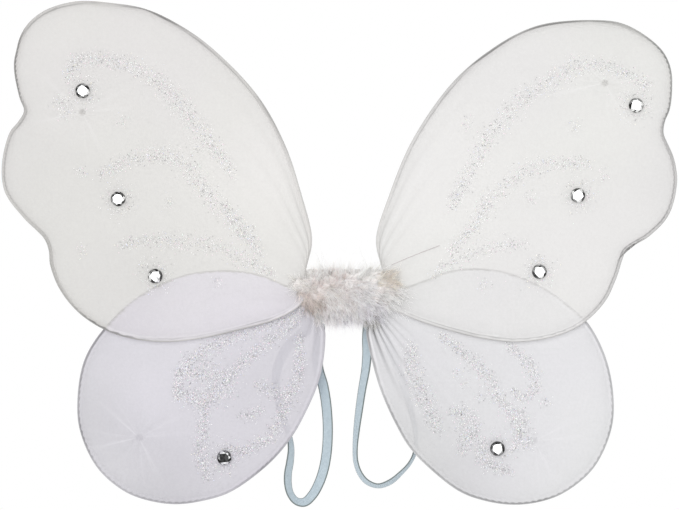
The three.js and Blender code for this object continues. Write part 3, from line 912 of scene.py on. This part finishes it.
def strand_arrays(roots, directions, lengths, curls, thickness, tones, local):
    """Tapered three-sided fibres: vertices, faces and a colour for each vertex."""
    count = len(roots)
    t = np.linspace(0, 1, STRAND_STEPS)[None, :, None]
    side_step = np.cross(directions, local.normal(0, 1, (count, 3)))
    side_step /= np.linalg.norm(side_step, axis=1)[:, None] + 1e-9
    path = roots[:, None] + lengths[:, None, None] * (
        t * directions[:, None] + t**2 * curls[:, None] + 0.06 * np.sin(t * 7.0) * side_step[:, None]
    )
    path[..., 1] = np.clip(path[..., 1], FUR_FRONT, FUR_BACK)
    ahead = np.gradient(path, axis=1)
    ahead /= np.linalg.norm(ahead, axis=2)[..., None] + 1e-9
    across = np.cross(ahead, side_step[:, None])
    across /= np.linalg.norm(across, axis=2)[..., None] + 1e-9
    deep = np.cross(ahead, across)
    taper = (1 - 0.93 * np.linspace(0, 1, STRAND_STEPS)) * thickness
    ring = []
    for k in range(3):
        angle = 2 * np.pi * k / 3
        ring.append(path + (across * math.cos(angle) + deep * math.sin(angle)) * taper[None, :, None])
    vertices = np.stack(ring, axis=2).reshape(-1, 3)
    per_strand = STRAND_STEPS * 3
    start = per_strand * np.arange(count)
    *quads, first_end, last_end = ring_faces(STRAND_STEPS, 3)
    quad_faces = (np.array(quads)[None] + start[:, None, None]).reshape(-1, 4).tolist()
    caps = np.array([first_end, last_end])
    cap_faces = (caps[None] + start[:, None, None]).reshape(-1, 3).tolist()
    # Painted shade: each fibre is darker at its root and lighter towards its tip.
    shade = 0.84 + 0.34 * np.linspace(0, 1, STRAND_STEPS) ** 0.7
    colours = (tones[:, None, :] * shade[None, :, None]).repeat(3, axis=1).reshape(-1, 3)
    return vertices, quad_faces + cap_faces, np.clip(colours, 0, 0.98)


def marabou_strands(local):
    """All the down: clumps of fine barbs that start on the hub's surface and curl outward."""
    roots, directions, lengths, curls, tones = [], [], [], [], []
    for middle, half, clumps, comb, reach, tone in TUFTS:
        for _ in range(clumps):
            front = local.random() < 0.68
            x, z = np.array(middle) + local.uniform(-1, 1, 2) * np.array(half)
            y = hub_surface(x, z, front) + (0.5 if front else -0.5)
            outward = np.array([x * 0.006, (-0.34 if front else 0.2), z * 0.02])
            lean = np.array([comb[0], 0, comb[1]]) * 0.9
            clump_direction = outward + lean + local.normal(0, 0.33, 3)
            clump_direction /= np.linalg.norm(clump_direction)
            clump_tone = np.array(tone) * local.uniform(0.93, 1.13) * (1 + local.normal(0, 0.015, 3))
            length = reach * local.uniform(0.55, 1.25)
            gravity = np.array([0, 0, -0.12])
            for _ in range(STRANDS_PER_CLUMP):
                roots.append(np.array([x, y, z]) + local.normal(0, 0.7, 3))
                direction = clump_direction + local.normal(0, 0.17, 3)
                directions.append(direction / np.linalg.norm(direction))
                lengths.append(length * local.uniform(0.6, 1.2))
                curls.append(local.normal(0, 0.16, 3) + gravity)
                dark = 0.5 if local.random() < 0.06 else 1.0
                tones.append(clump_tone * local.uniform(0.8, 1.2) * dark)
    return [np.array(a) for a in (roots, directions, lengths, curls, tones)]


def build_marabou(material, core_material):
    """The marabou in two halves, one on each side of the hub."""
    local = np.random.default_rng(21)
    roots, directions, lengths, curls, tones = marabou_strands(local)
    for side_name, side in (("left", -1), ("right", 1)):
        here = (roots[:, 0] * side) > 0
        vertices, faces, colours = strand_arrays(
            roots[here], directions[here], lengths[here], curls[here], STRAND_RADIUS, tones[here], local
        )
        obj = make_mesh(f"marabou_{side_name}", vertices, faces, material)
        set_colours(obj, colours)
        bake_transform(obj)
        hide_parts(f"{side_name}_fur_front", f"{side_name}_fur_back")
        core = build_core(side_name, side, core_material)
        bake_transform(core)
        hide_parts("centre_fur")


def build_stray_thread(material):
    """A fine loose thread that has worked out of the marabou and lies across the upper right wing."""
    points = [(35, -20, 20), (47, -18.5, 25.2), (59, -16.6, 30), (71, -15.6, 34.5)]
    vertices, faces = tube_arrays(smooth_path(points, 40), 0.12, 6)
    obj = make_mesh("stray_thread", vertices, faces, material)
    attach(obj, "upper_right_wing")


def build_core(side_name, side, material):
    """Half of the matted core under the loose down: a lumpy closed form that narrows away from the hub."""
    rings, sides = 44, 56
    angle = 2 * np.pi * np.arange(sides) / sides
    vertices = []
    for s in np.linspace(0, 1, rings):
        x = side * (0.1 + (44.5 if side > 0 else 41.5) * s)
        lump = 1 + 0.05 * np.sin(angle * 5 + x * 0.4) + 0.04 * np.sin(angle * 9 - x * 0.7)
        depth = np.interp(x, CORE_X, CORE_HALF_DEPTH) * lump * np.where(np.cos(angle) > 0, 0.85, 1.0)
        height = np.interp(x, CORE_X, CORE_HALF_HEIGHT) * lump
        z = np.interp(x, CORE_X, CORE_MIDDLE) + height * np.sin(angle)
        y = np.minimum(CORE_PLANE + depth * np.cos(angle), FUR_BACK)
        vertices.append(np.stack([np.full(sides, x), y, z], axis=1))
    return make_mesh(f"marabou_core_{side_name}", np.vstack(vertices), ring_faces(rings, sides), material)


def ribbon_arrays(route, width, thickness, steps):
    """A flat woven ribbon along [x, z, y, turn] points, with softly rounded edges and lengthwise ribs."""
    path = smooth_path([(x, y, z, turn) for x, z, y, turn in route], steps)
    places, turns = path[:, :3], np.radians(path[:, 3])
    ahead = np.gradient(places, axis=0)
    ahead /= np.linalg.norm(ahead, axis=1)[:, None]
    across = np.cross(np.array([0.0, 1.0, 0.0]), ahead)
    across /= np.linalg.norm(across, axis=1)[:, None]
    deep = np.cross(ahead, across)
    wide = across * np.cos(turns)[:, None] + deep * np.sin(turns)[:, None]
    thick = deep * np.cos(turns)[:, None] - across * np.sin(turns)[:, None]
    half = np.linspace(-1, 1, 17)
    rib = 0.5 + 0.11 * np.cos(half * np.pi * 6)
    rib[[0, -1]] = 0.22
    upper = [(w * width / 2, r * thickness) for w, r in zip(half, rib)]
    section = upper + [(w, -r) for w, r in reversed(upper)]
    vertices = np.stack([places + wide * w + thick * t for w, t in section], axis=1).reshape(-1, 3)
    # The points along the ribbon's two edges, where the elastic paints shade.
    edge = np.tile([abs(w) / (width / 2) > 0.86 for w, _ in section], steps + 1)
    return vertices, ring_faces(steps + 1, len(section)), edge


# The arm loops' routes as [x, z, y, turn], the same as their CAD solids follow.
LEFT_ROUTE = [
    (-18, -23.5, -2.3, 0), (-18.1, -27, -2.3, 2), (-19, -36, -1.8, 5), (-19.8, -46, -1, 8),
    (-19.3, -57, 0, 12), (-15.6, -70, 0.8, 16), (-13.5, -82, 1.4, 20), (-12.3, -95, 1.8, 22),
    (-12.1, -107, 2, 22), (-12.9, -120, 2.3, 22), (-15.1, -132.6, 2.5, 22), (-18.6, -143, 2.6, 24),
    (-23.6, -152, 2.6, 30), (-29.6, -157.4, 2.6, 38), (-35.6, -156.6, 2.6, 50), (-40, -151.4, 2.6, 52),
    (-41.9, -144, 2.6, 48), (-41.9, -136, 2.6, 46), (-40.4, -127, 2.5, 48),
    (-39.6, -117, 2.4, 56), (-41.4, -106, 2.2, 62),
    (-45.5, -94, 1.9, 54), (-49, -82, 1.6, 48), (-51, -70, 1.2, 44), (-49.5, -56, 0.4, 36),
    (-43, -42.5, -0.6, 24), (-34, -33.5, -1.6, 10), (-28.2, -28.5, -2.2, 2), (-27.2, -23.5, -2.3, 0),
]
RIGHT_ROUTE = [
    (18, -23.5, -2.3, 0), (17.9, -27, -2.3, 6), (17.4, -36, -1.8, 18), (17.3, -46, -0.8, 30),
    (16.2, -58, 0.2, 38), (13.6, -73, 1, 44), (11.4, -88, 1.5, 48), (9.5, -103, 1.9, 56),
    (8.4, -117, 2.2, 64), (8.9, -127, 2.4, 64), (11.8, -135.6, 2.6, 62), (17, -142, 2.6, 60),
    (25.3, -145.2, 2.6, 62), (34.3, -142.4, 2.6, 58), (42, -136.2, 2.6, 64), (49.2, -128.3, 2.5, 70),
    (52.9, -120.5, 2.4, 70), (53.8, -106, 2.2, 66), (50, -88, 1.7, 58), (44, -68, 1, 46),
    (36.5, -48, -0.3, 30), (31, -37, -1.4, 14), (28, -29, -2.2, 2), (27.2, -23.5, -2.3, 0),
]


def build_arm_loops(material):
    """The two elastic loops, each one twisting ribbon."""
    for side_name, route in (("left", LEFT_ROUTE), ("right", RIGHT_ROUTE)):
        vertices, faces, edge = ribbon_arrays(route, STRAP_WIDTH, STRAP_THICKNESS, 220)
        obj = make_mesh(f"{side_name}_elastic_loop", vertices, faces, material)
        set_point_value(obj, "edge", edge)
        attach(obj, f"{side_name}_arm_loop")
        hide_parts(f"{side_name}_strap")


def build_strap_ends(material, thread):
    """The sewn ends of the elastic on the patch, each with a box of stitches."""
    for side in ("left", "right"):
        for place in ("inner", "outer"):
            node = f"{side}_strap_tab_{place}"
            low, high = span(node)
            x, y = (low[0] + high[0]) / 2, (low[1] + high[1]) / 2
            route = [(x, low[2], y, 0), (x, (low[2] + high[2]) / 2, y, 0), (x, high[2], y, 0)]
            vertices, faces, edge = ribbon_arrays(route, STRAP_WIDTH, 0.8, 30)
            obj = make_mesh(f"{side}_sewn_end_{place}", vertices, faces, material)
            set_point_value(obj, "edge", edge)
            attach(obj, "centre")
            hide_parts(node)
            rear = span("back_patch")[1][1] + 0.1
            box_stitches(f"{side}_stitches_{place}", x, high[2] - 9, rear, thread)


def stitch(start, end, bulge):
    """One thread stitch, rising a little out of the cloth between its ends."""
    start, end = np.array(start, float), np.array(end, float)
    t = np.linspace(0, 1, 7)[:, None]
    path = start + (end - start) * t
    path[:, 1] += bulge * np.sin(np.pi * t[:, 0])
    return tube_arrays(path, 0.22, 6)


def box_stitches(name, x, z, y, material):
    """A sewn box with a cross in it."""
    half_w, half_h = 2.8, 5.0
    left, right, low, high = x - half_w, x + half_w, z - half_h, z + half_h
    corners = [(left, low), (right, low), (right, high), (left, high)]
    lines = list(zip(corners, corners[1:] + corners[:1]))
    lines += [(corners[0], corners[2]), (corners[1], corners[3])]
    parts = []
    for (x0, z0), (x1, z1) in lines:
        count = max(3, int(math.hypot(x1 - x0, z1 - z0) / 1.9))
        for k in range(count):
            a, b = (k + 0.12) / count, (k + 0.88) / count
            start = (x0 + (x1 - x0) * a, y, z0 + (z1 - z0) * a)
            end = (x0 + (x1 - x0) * b, y, z0 + (z1 - z0) * b)
            parts.append(stitch(start, end, 0.18))
    vertices, faces = joined(parts)
    obj = make_mesh(name, vertices, faces, material)
    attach(obj, "centre")


def rounded_outline(half_w, half_h, radius):
    """A rectangle with round corners, as [x, z] points."""
    per_corner = 8
    points = []
    for sx, sz, start in ((1, 1, 0), (-1, 1, 90), (-1, -1, 180), (1, -1, 270)):
        for k in range(per_corner + 1):
            angle = math.radians(start + 90 * k / per_corner)
            points.append((sx * (half_w - radius) + radius * math.cos(angle),
                           sz * (half_h - radius) + radius * math.sin(angle)))
    return np.array(points)


def build_patch(felt, thread):
    """The felt back patch with a softly rounded edge and a line of stitches round it."""
    low, high = span("back_patch")
    half_w, half_h, depth = high[0], high[2], high[1] - low[1]
    local = np.random.default_rng(5)
    rings = []
    outline_count = 36
    layers = [(0.0, 0.0), (0.0, 0.6), (0.0, 0.85), (0.35, 1.0), (3.0, 1.0), (10.0, 1.0), (18.0, 1.0)]
    full = layers[::-1] + [(inset, -lift) for inset, lift in layers[1:]]
    for inset, lift in full:
        edge = rounded_outline(half_w - inset, half_h - inset, max(8 - inset, 1.5))
        y = -depth / 2 - lift * depth / 2 + local.normal(0, 0.02, outline_count)
        rings.append(np.stack([edge[:, 0], np.clip(y, -depth, 0), edge[:, 1]], axis=1))
    obj = make_mesh("felt_patch", np.vstack(rings), ring_faces(len(full), outline_count), felt)
    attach(obj, "centre")
    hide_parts("back_patch")
    seam = even_steps(np.vstack([rounded_outline(half_w - 2.4, half_h - 2.4, 5.6)] * 2)[:37], 148)
    parts = []
    for a, b in zip(seam[0:-1:2], seam[1::2]):
        parts.append(stitch((a[0], 0.05, a[1]), (b[0], 0.05, b[1]), 0.15))
    vertices, stitch_faces = joined(parts)
    stitches = make_mesh("patch_stitches", vertices, stitch_faces, thread)
    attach(stitches, "centre")


# ---------------------------------------------------------------- stage
def set_stage():
    """White surroundings, a pale floor well below the wings, soft lights and the long-lens camera."""
    scene = bpy.context.scene
    scene.view_settings.view_transform = "Standard"
    world = bpy.data.worlds.new("studio")
    world.use_nodes = True
    background = world.node_tree.nodes["Background"]
    background.inputs[0].default_value = (1, 1, 1, 1)
    background.inputs[1].default_value = 1.0
    scene.world = world
    floor_z = cad_box[0][2] - FLOOR_DROP * MM
    half = FLOOR_HALF_SIZE * MM
    corners = [(-half, -half, floor_z), (half, -half, floor_z), (half, half, floor_z), (-half, half, floor_z)]
    mesh = bpy.data.meshes.new("floor")
    mesh.from_pydata(corners, [], [(0, 1, 2, 3)])
    mesh.materials.append(Graph("floor_white", Base_Color=(0.93, 0.93, 0.93, 1), Roughness=0.9).material)
    add_object("floor", mesh)
    camera = bpy.data.cameras.new("camera")
    camera.sensor_width = 36.0
    camera.lens = camera.sensor_width * CAMERA_DISTANCE / VIEW_WIDTH
    camera.clip_end = 50
    scene.camera = add_object("camera", camera)
    aim_x, aim_y, aim_z = CAMERA_AIM
    scene.camera.location = (aim_x * MM, (aim_y - CAMERA_DISTANCE) * MM, aim_z * MM)
    scene.camera.rotation_euler = (math.radians(90), 0, 0)
    add_soft_sun("front_fill", (-0.25, -1.0, 0.3), FRONT_FILL)
    add_soft_sun("rear_fill", (0.25, 1.0, 0.4), REAR_FILL)


def add_soft_sun(name, toward, strength):
    """A broad, even light that comes from the given direction, as from a large diffuser far away."""
    light = bpy.data.lights.new(name, "SUN")
    light.angle = math.radians(50)
    light.energy = strength
    rotation = (-Vector(toward)).to_track_quat("-Z", "Y").to_euler()
    add_object(name, light).rotation_euler = rotation


def dress_cad_nodes(tape, thread):
    """Finishes for the CAD nodes that stay as they are."""
    for name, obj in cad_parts.items():
        if "tape" in name or name.endswith("_tie"):
            obj.data.materials.clear()
            obj.data.materials.append(tape if "tape" in name else thread)


def main():
    set_stage()
    wire = wire_material()
    thread = woven_material("tied_thread", (0.72, 0.66, 0.58), (0.45, 0.40, 0.34), 900.0, "X")
    tape = woven_material("cloth_tape", (0.80, 0.78, 0.75), (0.62, 0.60, 0.57), 600.0, "Z")
    elastic = elastic_material()
    # The gems' stored facet tones are painted reflections.
    gem = tone_material("silvered_gem", Metallic=0.95, Roughness=0.08)
    glitter = tone_material("glitter", Metallic=0.5, Roughness=0.3)
    # The down glows a little: painted light in place of the light that scatters inside it.
    down = tone_material("marabou_down_glowing", Roughness=0.9, Sheen_Weight=0.3, Emission_Strength=0.04)
    felt = felt_material()
    knotted = {
        "upper": woven_material("upper_knot_nylon", (1.0, 0.99, 0.98), (0.95, 0.93, 0.92), 900.0, "X"),
        "lower": woven_material("lower_knot_nylon", (0.93, 0.91, 0.90), (0.78, 0.75, 0.74), 900.0, "X"),
    }
    gem_rng = np.random.default_rng(3)
    lines = {wing: wire_line(wing) for wing in WINGS}
    for wing, spec in WINGS.items():
        line = lines[wing]
        level, side = wing.split("_")
        partner = lines[("lower_" if level == "upper" else "upper_") + side]
        build_wire(wing, line, wire)
        nylon = net_material(wing, spec)
        build_net(wing, line, partner, spec, nylon)
        gem_nodes = sorted(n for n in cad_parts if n.startswith(f"{wing}_gem_"))
        spots = []
        for node in gem_nodes:
            low, high = span(node)
            spots.append(((low + high) / 2)[[0, 2]])
            build_gem(node, f"{wing}_wing", gem, gem_rng)
        build_glitter(wing, line, spots, glitter)
        build_knot(wing, knotted[level])
    build_flex_wires(wire)
    build_marabou(down, core_fur_material())
    build_stray_thread(woven_material("stray_thread", (0.30, 0.20, 0.22), (0.18, 0.13, 0.14), 900.0, "X"))
    build_arm_loops(elastic)
    build_strap_ends(elastic, thread)
    build_patch(felt, thread)
    dress_cad_nodes(tape, thread)


main()
